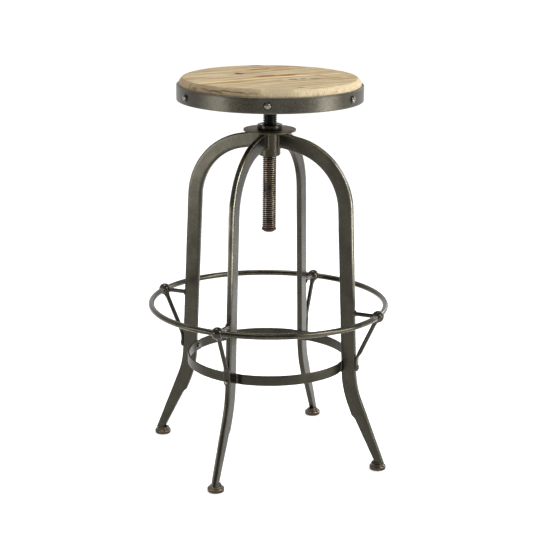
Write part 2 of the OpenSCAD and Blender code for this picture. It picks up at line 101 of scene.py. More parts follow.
# A leg's width is stepped in to NOTCH_W, and narrows from there to TIP_W at the foot
NOTCH_L = 12.4
NOTCH_W = 24.6
TAPER_L = 93.6
TIP_W = 16

# How far a leg's bar runs into the hub and into the foot
IN_HUB = 3.0
IN_FOOT = 5

# Feet: radius of their circle, their own profile, and the recess under them
FOOT_R = 236.038
DISC_R = 16.22
DISC_Z = 1.1
DISC_TOP = 9.5
NECK_R = 12
NECK_TOP = 12.9
RECESS_R = 12.2
RECESS_TOP = 3.2

# Hoop: LAND_R is the radius of the flats at the legs, and HOOP_R that of the rounds between them
HOOP_Z = 190
HOOP_H = 19.6
HOOP_T = 3.5
HOOP_R = 158.598
LAND_R = 156.998
LAND_HALF = 12.6
LAND_BEND = 3.2

# Foot rail, the balls on it, and their struts
RAIL_Z = 309.2
RAIL_R = 229
ROD_R = 5.65
BALL_R = 11.7
BALL_HOLE_R = 6.3
STRUT_R = 4.1

# Braces: the rod's radius, the bend's height above the rivet, and the flattened tab below it
STAY_R = 4.2
STAY_BEND_UP = 22
STAY_BEND = 8
TAB_OFF = 2
TAB_R = 6.5
TAB_END = 25.2

# Long rivets: height, diameter and height of a head, and the heads' distances from the leg's outer face
RIVET_Z = 202
RIVET_HEAD = (10.4, 3.2)
RIVET_OUT = 4
RIVET_IN = 33.24


def post_r(z):
    """Radius of a leg's centre line at a height on its long straight."""
    return SHOULDER_END[0] + (SHOULDER_END[1] - z) * math.tan(math.radians(SPLAY))


def heading(a):
    return np.array([math.cos(math.radians(a)), math.sin(math.radians(a))])


def smooth(t):
    t = np.clip(t, 0, 1)
    return t * t * (3 - 2 * t)


def at(azimuth, r, t, z):
    """Point r along the radius at an azimuth, t to the left of it, and z up."""
    c, s = heading(azimuth)
    r, t, z = np.broadcast_arrays(np.asarray(r, float), t, z)
    return np.stack([r * c - t * s, r * s + t * c, z], -1)


def add(name, data):
    """New object in the scene."""
    ob = bpy.data.objects.new(name, data)
    bpy.context.scene.collection.objects.link(ob)
    return ob


# Meshes


class Shape:
    """Grids of points, in millimetres, that become one mesh."""

    def __init__(self):
        self.points = []
        self.faces = []
        self.edge = []

    def grid(self, rows, edge=0.0, loop=True, ring=False, caps=True):
        """Joins rows of points with faces. Rows are closed where loop is true, and the last row joins the
        first where ring is true. edge is how worn each point is, from 0 to 1, or how strong a painted
        highlight is there."""
        rows = np.asarray(rows, float)
        n, m = rows.shape[:2]
        base = len(self.points)
        self.points.extend(rows.reshape(-1, 3))
        self.edge.extend(np.broadcast_to(edge, (n, m)).reshape(-1))
        for i in range(n if ring else n - 1):
            for j in range(m if loop else m - 1):
                i2, j2 = (i + 1) % n, (j + 1) % m
                self.faces.append([base + k for k in (i * m + j, i * m + j2, i2 * m + j2, i2 * m + j)])
        if caps and loop and not ring:
            self.faces.append([base + j for j in range(m)])
            self.faces.append([base + (n - 1) * m + j for j in range(m)])

    def lathe(self, profile, origin, axis, edge=0.0, n=32, ring=False, radius=None):
        """Turns a profile of (radius, distance along the axis) round an axis. radius(angle, row) may scale
        a row."""
        w = Vector(axis).normalized()
        u = w.orthogonal().normalized()
        v = w.cross(u)
        rows = []
        for i, (r, h) in enumerate(profile):
            row = []
            for k in range(n):
                a = 2 * math.pi * k / n
                q = r * (radius(a, i) if radius else 1)
                row.append(Vector(origin) + w * h + (u * math.cos(a) + v * math.sin(a)) * q)
            rows.append(row)
        self.grid(rows, np.reshape(edge, (-1, 1)) if np.ndim(edge) else edge, ring=ring,
                  caps=profile[0][0] > 0 and profile[-1][0] > 0)

    def bead(self, path, radius, seed=0, pitch=2.6, n=10):
        """Weld bead along a closed path: a tube with the ripples of its making."""
        step = 0.8
        path = np.asarray(path, float)
        lengths = np.linalg.norm(np.roll(path, -1, 0) - path, axis=1)
        total = lengths.sum()
        stops = np.linspace(0, total, int(total / step) + 1)[:-1]
        knots = np.concatenate([[0], np.cumsum(lengths)])
        closed = np.vstack([path, path[:1]])
        line = np.stack([np.interp(stops, knots, closed[:, k]) for k in range(3)], -1)
        tangent = np.roll(line, -2, 0) - np.roll(line, 2, 0)
        tangent /= np.linalg.norm(tangent, axis=1)[:, None]
        out = line - line.mean(0)
        out -= (out * tangent).sum(1)[:, None] * tangent
        out /= np.linalg.norm(out, axis=1)[:, None]
        side = np.cross(tangent, out)
        count = max(3, round(total / pitch))
        a = 2 * np.pi * np.arange(n)[:, None] / n
        rows = []
        for k, s in enumerate(stops):
            ripple = abs(math.sin(math.pi * count * s / total)) ** 0.6
            lump = noise.noise(Vector(line[k]) / 3 + Vector((seed, 0, 0)))
            r = radius * (0.8 + 0.22 * ripple + 0.16 * lump)
            rows.append(line[k] + r * (np.cos(a) * out[k] + np.sin(a) * side[k]))
        self.grid(rows, 0.35, ring=True)

    def wave(self, amount, size, seed=0, only_in=False):
        """Moves each point a little, by smooth noise, or only towards the axis where only_in is true."""
        for k, p in enumerate(self.points):
            q = Vector(p) / size + Vector((seed, seed, 0))
            if only_in:
                d = amount * (0.5 + 0.5 * noise.noise(q))
                self.points[k] = p - d * np.array([p[0], p[1], 0]) / max(np.hypot(p[0], p[1]), 1)
            else:
                self.points[k] = p + amount * np.array(noise.noise_vector(q))

    def piece(self, name, body, slot, look, *nodes, sharp=38):
        """Makes the mesh a piece that rides on a body and replaces nodes. Angles above sharp stay edges."""
        mesh = bpy.data.meshes.new(name)
        mesh.from_pydata((np.array(self.points) / 1000).tolist(), [], self.faces)
        edge = mesh.attributes.new("edge", "FLOAT", "POINT")
        edge.data.foreach_set("value", np.array(self.edge, np.float32))
        bm = bmesh.new()
        bm.from_mesh(mesh)
        bmesh.ops.remove_doubles(bm, verts=bm.verts, dist=2e-6)
        bmesh.ops.recalc_face_normals(bm, faces=bm.faces)
        bm.to_mesh(mesh)
        bm.free()
        mesh.polygons.foreach_set("use_smooth", [True] * len(mesh.polygons))
        mesh.set_sharp_from_angle(angle=math.radians(sharp))
        mesh.materials.append(look)
        ob = add(name, mesh)
        if nodes:
            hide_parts(*nodes)
        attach(ob, body)


def fillet(corners, radii, n=5):
    """Points of a line with rounded corners, and how worn each is: 1 in the middle of a rounding."""
    points, worn = [], []
    for k, (p, r) in enumerate(zip(corners, radii)):
        p = np.array(p, float)
        if not r:
            points.append(p)
            worn.append(0)
            continue
        u = np.array(corners[k - 1], float) - p
        v = np.array(corners[(k + 1) % len(corners)], float) - p
        u /= np.linalg.norm(u)
        v /= np.linalg.norm(v)
        half = math.acos(np.dot(u, v)) / 2
        centre = p + (u + v) / np.linalg.norm(u + v) * r / math.sin(half)
        a = p + u * r / math.tan(half) - centre
        b = p + v * r / math.tan(half) - centre
        sweep = math.pi - 2 * half
        for t in np.linspace(0, 1, n):
            arm = a * math.sin((1 - t) * sweep) + b * math.sin(t * sweep)
            points.append(centre + arm / math.sin(sweep))
            worn.append(math.sin(math.pi * (0.1 + 0.8 * t)))
    return points, worn


def bar(x0, x1, half, e):
    """Section of a flat bar from x0 to x1, with rounded edges, and its wear."""
    step = 4
    points, worn = fillet([(x0, -half), (x1, -half), (x1, half), (x0, half)], [e] * 4)
    more, wear = [], []
    for k, (p, w) in enumerate(zip(points, worn)):
        more.append(p)
        wear.append(w)
        q = points[(k + 1) % len(points)]
        steps = int(np.linalg.norm(q - p) / step)
        for s in range(1, steps):
            more.append(p + (q - p) * s / steps)
            wear.append(0)
    return np.array(more), np.array(wear)


def resample(section, worn, count):
    """The same closed section with another number of points."""
    closed = np.vstack([section, section[:1]])
    run = np.concatenate([[0], np.cumsum(np.linalg.norm(np.diff(closed, axis=0), axis=1))])
    share = np.linspace(0, 1, len(run))
    stops = np.interp(np.arange(count) / count, share, run)
    wear = np.append(worn, worn[0])
    points = np.stack([np.interp(stops, run, closed[:, k]) for k in (0, 1)], -1)
    return points, np.interp(stops, run, wear)


def border(grid):
    """Outermost points of a grid, in order."""
    return np.concatenate([grid[0], grid[1:, -1], grid[-1, ::-1][1:], grid[::-1, 0][1:-1]])


def dome(shape, origin, axis, d, h, n=28):
    """Round rivet head of diameter d and height h, with a thin straight rim and a painted highlight on its
    top.
    """
    r = (d * d / 4 + h * h) / (2 * h)
    top = math.asin(d / 2 / r) if r > h else math.pi / 2
    steps = np.linspace(0, 1, 9)
    cap = [(r * math.sin(top * (1 - t)), h - r + r * math.cos(top * (1 - t))) for t in steps]
    rim = [(d / 2 - 0.3, -0.8), (d / 2, -0.1)]
    # The cap is painted paler towards its top: a painted highlight
    shape.lathe(rim + cap, origin, axis, [0, 0] + [0.8 * t for t in steps], n)


def rounded_path(azimuth, half_h, half_t, e, place):
    """Closed path round a rounded rectangle, which place(up, sideways) puts in space."""
    corners = [(-half_h, -half_t), (half_h, -half_t), (half_h, half_t), (-half_h, half_t)]
    return [at(azimuth, *place(p[0], p[1])) for p in fillet(corners, [e] * 4)[0]]


# Materials. The wood's colours are darkened by WOOD_GAIN, because the lamps are strong.
WOOD_GAIN = 0.66


def tone(r, g, b, gain=1.0):
    """Linear colour of an sRGB colour from 0 to 255, times a gain."""
    return tuple(gain * ((c / 255 + 0.055) / 1.055) ** 2.4 for c in (r, g, b)) + (1,)


class Look:
    """A material made of procedural nodes. Its vectors are in millimetres."""

    def __init__(self, name):
        self.material = bpy.data.materials.new(name)
        self.material.use_nodes = True
        self.tree = self.material.node_tree
        self.tree.nodes.clear()
        self.shader = self.node("ShaderNodeBsdfPrincipled")
        self.tree.links.new(self.shader.outputs[0], self.node("ShaderNodeOutputMaterial").inputs[0])
        place = self.node("ShaderNodeTexCoord").outputs["Object"]
        self.mm = self.vector("MULTIPLY", place, (1000, 1000, 1000))

    def node(self, kind, *values, **settings):
        node = self.tree.nodes.new(kind)
        for key, value in settings.items():
            setattr(node, key, value)
        for socket, value in zip(node.inputs, values):
            self.put(socket, value)
        return node

    def put(self, socket, value):
        """Links or sets a socket, which may be a name on the shader."""
        if isinstance(socket, str):
            socket = self.shader.inputs[socket]
        if isinstance(value, bpy.types.NodeSocket):
            self.tree.links.new(value, socket)
        elif value is not None:
            socket.default_value = value

    def vector(self, kind, *values):
        return self.node("ShaderNodeVectorMath", *values, operation=kind).outputs[0]

    def length(self, vector):
        return self.node("ShaderNodeVectorMath", vector, operation="LENGTH").outputs["Value"]

    def axis(self, vector, k):
        return self.node("ShaderNodeSeparateXYZ", vector).outputs[k]

    def noise(self, vector, size, detail=3, rough=0.5, seed=0):
        scaled = self.vector("MULTIPLY_ADD", vector, tuple(1 / s for s in size), (seed, seed / 2, -seed))
        node = self.node("ShaderNodeTexNoise")
        self.put(node.inputs["Vector"], scaled)
        for key, value in (("Scale", 1), ("Detail", detail), ("Roughness", rough)):
            node.inputs[key].default_value = value
        return node.outputs[0]

    def ramp(self, value, low, high, to=(0, 1)):
        node = self.node("ShaderNodeMapRange", value, low, high, *to, interpolation_type="SMOOTHSTEP")
        return node.outputs[0]

    def calc(self, kind, a, b=None):
        return self.node("ShaderNodeMath", a, b, operation=kind).outputs[0]

    def mix(self, share, a, b):
        node = self.node("ShaderNodeMix", data_type="RGBA")
        for k, value in ((0, share), (6, a), (7, b)):
            self.put(node.inputs[k], value)
        return node.outputs[2]

    def attribute(self, name):
        return self.node("ShaderNodeAttribute", attribute_name=name).outputs["Fac"]

    def bump(self, height, distance, strength=1.0):
        node = self.node("ShaderNodeBump")
        for key, value in (("Strength", strength), ("Distance", distance / 1000), ("Height", height)):
            self.put(node.inputs[key], value)
        self.put("Normal", node.outputs[0])

    def mark(self, body, mark, grain, spread, fade):
        """Lays a mark of the wood over a colour. grain makes its outline ragged by spread, and it fades in
        between the two distances of fade, in shares of its size."""
        deep = 900
        x, y, angle, length, width, colour, strength = mark
        turned = (0, 0, math.radians(angle))
        place = self.node("ShaderNodeMapping", self.mm, (x, y, WOOD_TOP), turned, (length, width, deep),
                          vector_type="TEXTURE").outputs[0]
        ragged = self.calc("ADD", self.length(place), self.ramp(grain, 0.25, 0.75, (spread, -spread)))
        return self.mix(self.ramp(ragged, *fade, (0, strength)), body, tone(*colour, WOOD_GAIN))


def steel(name, dark, light, bright=(112, 108, 97), rust=(92, 66, 48), rusty=0.5, rough=(0.28, 0.42),
          seed=0, patchy=0.3, low_rust=None, dim=None, rim=None, size=40, grainy=0.3, metal=0.9):
    """Dark blackened steel: cloudy, with fine grit, rust specks and paler edges: worn ones and, on some
    pieces, a painted highlight. low_rust is the heights between which rust fades out upward, and dim those
    between which the paler edges fade out upward, which paints shade over the top. rim is the radius beyond
    which the steel is darker, a painted shade."""
    k = Look(name)
    clouds = k.noise(k.mm, (size, size, size * 1.4), 4, 0.6, seed)
    grit = k.noise(k.mm, (1.6, 1.6, 2.2), 3, 0.6, seed + 3)
    body = k.mix(k.ramp(clouds, 0.34, 0.68), tone(*dark), tone(*light))
    body = k.mix(k.ramp(grit, 0.35, 0.75, (0, grainy)), body, tone(*[c * 1.25 for c in light]))
    height = k.axis(k.mm, 2)
    patches = k.ramp(k.noise(k.mm, (14, 14, 22), 3, 0.6, seed + 5), 0.3, 0.6, (1 - patchy, 1))
    # The paler edges: wear, and on some pieces a painted highlight
    worn = k.calc("MULTIPLY", k.attribute("edge"), patches)
    # Painted shade: the paler edges fade out towards the top
    if dim:
        worn = k.calc("MULTIPLY", worn, k.ramp(height, dim[1], dim[0]))
    body = k.mix(k.ramp(worn, 0.1, 0.95), body, tone(*bright))
    # Painted shade: the steel beyond the rim radius is darkened, shading its side face
    if rim:
        radius = k.length(k.vector("MULTIPLY", k.mm, (1, 1, 0)))
        body = k.mix(k.ramp(radius, rim, rim + 0.3, (0, 0.85)), body, tone(44, 40, 32))
    specks = k.noise(k.mm, (5, 5, 7), 5, 0.75, seed + 7)
    spots = k.ramp(specks, 0.74 - 0.12 * rusty, 0.86 - 0.12 * rusty)
    if low_rust:
        wide = k.calc("ADD", height, k.ramp(clouds, 0.2, 0.8, (-14, 14)))
        spots = k.calc("MAXIMUM", spots, k.ramp(wide, low_rust[1], low_rust[0], (0, 0.55)))
    k.put("Base Color", k.mix(spots, body, tone(*rust)))
    k.put("Metallic", k.ramp(spots, 0, 1, (metal, metal / 2)))
    k.put("Roughness", k.calc("ADD", k.ramp(clouds, 0.3, 0.7, rough), k.ramp(spots, 0, 1, (0, 0.2))))
    k.bump(k.calc("ADD", k.ramp(clouds, 0, 1, (0, 0.5)), k.ramp(grit, 0.2, 0.8, (0, 0.2))), 0.3, 0.4)
    return k.material


def timber(name, seed, marks, glow=None, plain=1.0):
    """Old softwood: long fibres and bands in four tones, end grain on the rim, darkened towards the left as a
    painted shade, and single marks. glow is a line beside the front seam as (offset, half width, strength,
    colour). plain below 1 makes the bands fainter."""
    gain = WOOD_GAIN
    k = Look(name)
    turned = (0, 0, math.radians(-GRAIN))
    along = k.node("ShaderNodeMapping", k.mm, (0, 0, 0), turned, (1, 1, 1)).outputs[0]
    broad = k.noise(along, (190, 34, 34), 2, 0.5, seed)
    bands = k.noise(along, (150, 8, 12), 4, 0.6, seed + 1)
    lines = k.noise(along, (70, 2.4, 5), 4, 0.65, seed + 2)
    fibre = k.noise(along, (24, 0.8, 1.6), 3, 0.6, seed + 3)
    streaks = k.noise(along, (110, 5, 9), 3, 0.6, seed + 4)
    body = k.mix(k.ramp(bands, 0.44, 0.58), tone(180, 156, 116, gain), tone(218, 200, 160, gain))
    body = k.mix(k.ramp(broad, 0.44, 0.66, (0, 0.5)), body, tone(206, 190, 156, gain))
    body = k.mix(k.ramp(streaks, 0.52, 0.66, (0, 0.9 * plain)), body, tone(168, 128, 84, gain))
    body = k.mix(k.ramp(lines, 0.52, 0.68, (0, 0.8 * plain)), body, tone(146, 116, 78, gain))
    body = k.mix(k.ramp(lines, 0.46, 0.32, (0, 0.7)), body, tone(232, 216, 176, gain))
    body = k.mix(k.ramp(fibre, 0.54, 0.74, (0, 0.5)), body, tone(124, 100, 68, gain))
    if glow:
        offset, width, strength, colour = glow
        beside = k.calc("SUBTRACT", k.axis(along, 1), SEAMS[0] + offset)
        near = k.ramp(k.calc("ABSOLUTE", beside), width, 0.3)
        share = k.calc("MULTIPLY", near, k.ramp(bands, 0.3, 0.6, (strength * 0.8, strength)))
        body = k.mix(share, body, tone(*colour, gain))
    for mark in marks:
        body = k.mark(body, mark, lines, 0.3, (1.15, 0.7))
    streak = k.noise(k.mm, (1.4, 1.4, 40), 3, 0.6, seed + 9)
    blotch = k.noise(k.mm, (18, 18, 30), 3, 0.6, seed + 11)
    end = k.mix(k.ramp(streak, 0.35, 0.7), tone(236, 220, 184, gain), tone(204, 182, 142, gain))
    # Painted shade: the end grain is darkened towards the left, the side away from the light
    left = k.calc("ADD", k.axis(k.mm, 0), k.ramp(blotch, 0.2, 0.8, (50, -50)))
    end = k.mix(k.ramp(left, 10, -110, (0, 0.8)), end, tone(146, 126, 96, gain))
    end = k.mix(k.calc("MULTIPLY", k.ramp(streak, 0.58, 0.72), 0.8), end, tone(116, 94, 66, gain))
    body = k.mix(k.ramp(k.attribute("edge"), 0.25, 0.75, (0, 0.85)), body, end)
    for mark in RIM_MARKS:
        body = k.mark(body, mark, streak, 0.2, (1.1, 0.5))
    k.put("Base Color", body)
    k.put("Roughness", k.ramp(fibre, 0.3, 0.7, (0.7, 0.85)))
    k.put("Specular IOR Level", 0.12)
    k.bump(k.calc("ADD", lines, k.calc("MULTIPLY", fibre, 0.6)), 0.3, 0.6)
    return k.material


def rubber(name):
    k = Look(name)
    grit = k.noise(k.mm, (1.2, 1.2, 1.2), 3, 0.6)
    k.put("Base Color", k.mix(k.ramp(grit, 0.3, 0.7), tone(26, 26, 25), tone(44, 43, 41)))
    k.put("Roughness", k.ramp(grit, 0.3, 0.7, (0.7, 0.85)))
    k.bump(grit, 0.1, 0.5)
    return k.material


# The legs' pale edge colour is a painted highlight on their outer edges, and a little wear
LEG_LOOK = steel("leg_steel", (47, 45, 38), (58, 56, 48), bright=(150, 146, 130), rusty=0.4,
                 rough=(0.22, 0.3), seed=1)
RAIL_LOOK = steel("rail_steel", (46, 43, 35), (74, 70, 59), bright=(112, 106, 92), rusty=0.8,
                  rough=(0.16, 0.26), seed=9)
BALL_LOOK = steel("ball_steel", (36, 33, 28), (50, 47, 40), bright=(134, 108, 90), rough=(0.1, 0.18),
                  seed=20, metal=0.7)
STAY_LOOK = steel("stay_steel", (36, 34, 28), (52, 49, 41), bright=(60, 56, 47), rusty=0.6,
                  rough=(0.2, 0.3), seed=12, metal=0.8)
BAND_LOOK = steel("band_steel", (48, 45, 38), (68, 65, 57), bright=(100, 97, 88), rusty=0.2,
                  rough=(0.34, 0.42), seed=17, size=60, grainy=0.8)
HOOP_LOOK = steel("hoop_steel", (42, 40, 33), (54, 52, 43), bright=(60, 57, 49), rusty=0.3,
                  rough=(0.34, 0.44), seed=25)
CROWN_LOOK = steel("crown_steel", (40, 37, 29), (60, 56, 46), rough=(0.3, 0.4), seed=33)
# The thread's pale crests fade out towards the top (dim): a painted shade under the seat
SCREW_LOOK = steel("screw_steel", (15, 12, 9), (24, 20, 15), bright=(106, 94, 82), rust=(78, 48, 38),
                   rough=(0.25, 0.4), seed=41, patchy=0.7, low_rust=(456, 480), dim=(625, 690))
DARK_LOOK = steel("dark_steel", (30, 26, 22), (48, 43, 38), rusty=0.4, rough=(0.2, 0.3), seed=49)
# rim darkens the plate's side face: a painted shade
PLATE_LOOK = steel("plate_steel", (88, 83, 66), (120, 115, 94), bright=(90, 85, 70), rusty=0.8,
                   rough=(0.4, 0.5), seed=52, rim=50.1, size=16)
# Its pale colour paints a highlight on the rivets' domes
RIVET_LOOK = steel("rivet_steel", (24, 21, 17), (42, 38, 32), bright=(148, 143, 130), rusty=0.4,
                   rough=(0.14, 0.22), seed=57, patchy=0, metal=0.8)
FOOT_LOOK = steel("foot_steel", (38, 34, 29), (64, 56, 47), bright=(120, 104, 86), rust=(92, 60, 44),
                  rusty=0.8, rough=(0.12, 0.2), seed=65, patchy=0.6, size=14, metal=0.8)
PAD_LOOK = rubber("pad_rubber")

# Marks on the planks: x, y, azimuth, half length, half width, colour, strength
MARKS = [
    (8, 14, GRAIN, 66, 15, (186, 146, 98), 0.7),
    (-8, 9, GRAIN, 24, 10.0, (138, 104, 64), 0.9),
    (33, 26, 34, 21, 9.5, (144, 106, 62), 0.95),
    (-59.5, 38, -20, 10, 8.0, (62, 44, 42), 1.0),
    (-34, 52, GRAIN, 22, 5.0, (146, 120, 90), 0.7),
    (-100, -76, 33.7, 60, 5.0, (242, 212, 158), 0.95),
    (-28, -28.5, 33.4, 40, 5.0, (242, 212, 158), 0.95),
    (48, 12, 24.4, 58, 5.5, (246, 226, 184), 0.95),
    (116, 44, 27, 30, 5.5, (244, 224, 184), 0.9),
    (-100, -94, 33, 46, 4.0, (188, 144, 94), 0.8),
    (-40, -56, 33, 34, 3.5, (178, 128, 76), 0.7),
    (12, -44, 33, 16, 4.0, (180, 136, 84), 0.8),
    (44, -31.5, 4, 11, 4.6, (30, 22, 14), 1.0),
    (62, -24.5, 30, 8, 4.2, (60, 46, 30), 1.0),
    (84, -17.5, 16, 14, 4.0, (96, 76, 52), 0.9),
    (-22, 101, 14.5, 24, 8.0, (150, 116, 82), 0.9),
    (-6, 128, 5, 46, 6.0, (168, 128, 84), 0.8),
    (-32, 159.5, 3, 17, 7.5, (92, 64, 46), 1.0),
    (40, 150, -10, 42, 7.0, (156, 116, 80), 0.8),
    (20, 101, 38, 30, 9.0, (178, 138, 92), 0.7),
    (94, 134, 0, 10, 6.0, (84, 100, 108), 0.75),
    (55, -139.5, 25, 8, 3.0, (104, 82, 56), 1.0),
    (-120, 10, GRAIN - 6, 44, 16.0, (214, 200, 172), 0.6),
    (142, 6, 20, 8, 3.0, (240, 228, 204), 0.7),
    (90, 60, GRAIN + 2, 50, 5.0, (168, 126, 78), 0.5),
    (-20, -84, GRAIN, 70, 4.0, (172, 134, 88), 0.5),
    (60, -70, GRAIN, 60, 3.5, (168, 132, 88), 0.5),
]

# Marks on the bevel, of the same kind: three soft shades, then thin cracks
RIM_MARKS = [
    (-116, -122, 316, 46, 9, (160, 140, 108), 0.75),
    (-52, -160, 342, 50, 9, (164, 144, 112), 0.75),
    (18, -168, 6, 36, 8, (176, 158, 126), 0.6),
    (-147.5, -87.5, 212, 8, 1.3, (70, 56, 40), 0.9),
    (-139, -102, 306, 10, 1.2, (110, 90, 66), 0.6),
    (-117, -125.5, 314, 17, 0.9, (112, 92, 68), 0.7),
    (-99, -140.5, 324, 18, 0.8, (90, 72, 52), 0.8),
    (-80, -151, 331, 17, 0.9, (72, 56, 40), 0.85),
    (-56, -162, 340, 18, 0.8, (84, 66, 46), 0.8),
    (-30, -169, 350, 14, 1.2, (126, 104, 76), 0.5),
]
PLANK_LOOKS = {
    "front": timber("timber_front", 3, [m for m in MARKS if m[0] > 0 or m[1] < 0],
                    (-2.0, 2.0, 0.35, (150, 112, 68)), 0.6),
    "middle": timber("timber_middle", 14, MARKS, (2.0, 2.5, 0.3, (170, 136, 92))),
    "back": timber("timber_back", 27, [m for m in MARKS if m[1] > 90]),
}


# Seat


def plank(name, low, high):
    """One plank between two offsets across the grain: a grid over its top, down its rim and under it."""
    gap = 0.08
    soft = 0.7
    flat_r = WOOD_R - BEVEL
    sawn = []
    if low > -WOOD_R:
        low += gap
        sawn.append((low, 1))
    if high < WOOD_R:
        high -= gap
        sawn.append((high, -1))
    first, last = (math.degrees(math.asin(v / WOOD_R)) for v in (low, high))
    across = WOOD_R * np.sin(np.radians(np.linspace(first, last, int((last - first) / 1.1) + 2)))
    near = [edge + way * soft * q for edge, way in sawn for q in (0.12, 0.35, 0.65, 1.0)]
    flat = np.linspace(-1, 1, 61)
    slope = np.array([0.15, 0.35, 0.6, 0.75, 0.87, 0.95, 1.0])
    top, worn = [], []
    for v in sorted([*across, *near]):
        full = math.sqrt(max(WOOD_R**2 - v * v, 0))
        inner = math.sqrt(max(flat_r**2 - v * v, 0))
        right = inner + (full - inner) * slope
        u = np.concatenate([-right[::-1], inner * flat, right])
        r = np.hypot(u, v)
        drop = np.interp(r - flat_r, BEVEL_RUN, BEVEL_DROP)
        lip = 0.5 * np.exp(-((r - flat_r) / 1.2) ** 2)
        rounding = 0
        for edge, way in sawn:
            inward = min(way * (v - edge) / soft, 1)
            rounding = max(rounding, soft * (1 - math.sqrt(max(1 - (1 - inward) ** 2, 0))))
        hollow = np.array([0.22 * (1 + noise.noise(Vector((a / 70, v / 14, low)))) for a in u])
        top.append(at(GRAIN, u, v, WOOD_TOP - drop - lip - np.maximum(rounding, hollow)))
        worn.append(smooth((r - flat_r + 1.0) / 2.0))
    top, worn = np.array(top), np.array(worn)
    shape = Shape()
    shape.grid(top, worn, loop=False)
    bottom = top.copy()
    bottom[:, :, 2] = WOOD_Z
    shape.grid(bottom, 0.0, loop=False)
    levels = []
    for share in (0, 0.2, 0.6, 1.0):
        level = border(top)
        level[:, 2] += (WOOD_Z - level[:, 2]) * share
        levels.append(level)
    shape.grid(levels, border(worn), caps=False)
    shape.piece("plank_" + name, "seat", "timber", PLANK_LOOKS[name], "seat_plank_" + name, sharp=50)


plank("front", -WOOD_R, SEAMS[0])
plank("middle", *SEAMS)
plank("back", SEAMS[1], WOOD_R)

# Band: its section is rounded at the corners, with extra points on the outer face
shape = Shape()
band_in = BAND_R - BAND_T
band_top = BAND_Z + BAND_H
corners = [(band_in, BAND_Z), (BAND_R, BAND_Z), (BAND_R, band_top), (band_in, band_top)]
profile, worn = fillet(corners, [0.5, 1.0, 1.0, 0.5], 4)
split = 8
low, high = profile[split - 1], profile[split]
outer = [low + (high - low) * t for t in np.linspace(0, 1, 9)[1:-1]]
shape.lathe(profile[:split] + outer + profile[split:], (0, 0, 0), (0, 0, 1),
            worn[:split] + [0] * len(outer) + worn[split:], 240, ring=True)
shape.wave(0.35, 22, 4, only_in=True)
shape.piece("rim_band", "seat", "gunmetal", BAND_LOOK, "seat_band")

shape = Shape()
for i in range(6):
    a = BAND_RIVET_A + 60 * i
    dome(shape, at(a, BAND_R - 0.2, 0, BAND_Z + BAND_H / 2), (*heading(a), 0), *BAND_RIVET)
shape.wave(0.15, 6, 2)
shape.piece("rim_rivets", "seat", "rivet_steel", RIVET_LOOK, "band_rivets")

# Screws: a rounded head with a hexagonal socket
corners = [(HEAD_R, -0.5), (HEAD_R, HEAD_H), (SOCKET_R + 0.1, HEAD_H)]
head, head_worn = fillet(corners, [0, 1.6, 0], 6)
socket = [(SOCKET_R, HEAD_H - 0.1), (SOCKET_R, HEAD_H - SOCKET_D), (0, HEAD_H - SOCKET_D)]
socket_rows = (len(head), len(head) + 1)


def hexagon(angle, row):
    """Scale of a row of the screw's head at an angle: six flats on the socket's wall."""
    return 0.92 / math.cos(math.radians(math.degrees(angle) % 60 - 30)) if row in socket_rows else 1


shape = Shape()
for i in range(6):
    place = at(GRAIN + 60 * (i + 0.5), SCREW_R, 0, FLANGE_Z)
    shape.lathe([tuple(p) for p in head] + socket, place, (0, 0, -1), head_worn + [0.3, 0, 0], 36,
                radius=hexagon)
shape.piece("under_screws", "seat", "rivet_steel", RIVET_LOOK, "flange_screws", sharp=30)

# Spindle: a right-hand thread. Its rows are at shares of a pitch above the middle of a crest.
THREAD_ROWS = (-0.15, 0.15, 0.2, 0.33, 0.38, 0.62, 0.67, 0.8)


def thread_depth(u):
    """Share of the thread's depth at a height in pitches above the middle of its crest."""
    u = abs(u - round(u))
    return float(np.interp(u, [0, 0.15, 0.2, 0.33, 0.38, 0.5], [1, 1, 0.93, 0.06, 0, 0]))


shape = Shape()
columns = 44
turns = int((FLANGE_Z - SPINDLE_Z) / PITCH) + 4
rows, wear = [], []
for level in [(j + u) * PITCH for j in range(turns) for u in THREAD_ROWS]:
    row, worn = [], []
    for k in range(columns + 1):
        z = min(max(SPINDLE_Z - 2 * PITCH + level + PITCH * k / columns, SPINDLE_Z), FLANGE_Z)
        share = thread_depth(z / PITCH - k / columns)
        row.append(at(360 * k / columns, ROOT_R + (SPINDLE_R - ROOT_R) * share, 0, z))
        worn.append(share**2)
    rows.append(row)
    wear.append(worn)
shape.grid(rows, np.clip(wear, 0, 1), loop=False)
foot_row = [at(360 * k / columns, ROOT_R - 1, 0, SPINDLE_Z) for k in range(columns + 1)]
shape.grid([rows[0], foot_row], 0, loop=False)
shape.piece("thread", "seat", "screw_steel", SCREW_LOOK, "spindle", sharp=50)

# Crown and legs


def leg_line():
    """Centre line of a leg, from inside the hub to inside the foot, as (radius, height, heading, distance
    to its tip)."""
    step = 4
    p = np.array([HUB_R, LEG_RISE_Z], float)
    a = -LEG_FALL
    points = [(p - IN_HUB * heading(a), a, 0.0)]
    length = IN_HUB
    for kind, size, turn in (("line", NECK_L, 0), ("arc", SHOULDER_R, LEG_FALL + SPLAY - 90),
                             ("line", POST_L, 0), ("arc", KNEE_R, KNEE_TURN),
                             ("line", SHIN_L + IN_FOOT, 0)):
        reach = size if kind == "line" else size * math.radians(abs(turn))
        steps = max(2, int(reach / step))
        for s in np.arange(1, steps + 1) / steps:
            if kind == "line":
                q, b = p + size * s * heading(a), a
            else:
                side = math.copysign(90, turn)
                centre = p + size * heading(a + side)
                b = a + turn * s
                q = centre - size * heading(b + side)
            points.append((q, b, length + reach * s))
        p, a, length = q, b, length + reach
    tip = length - IN_FOOT
    return [(q[0], q[1], b, tip - s) for q, b, s in points]


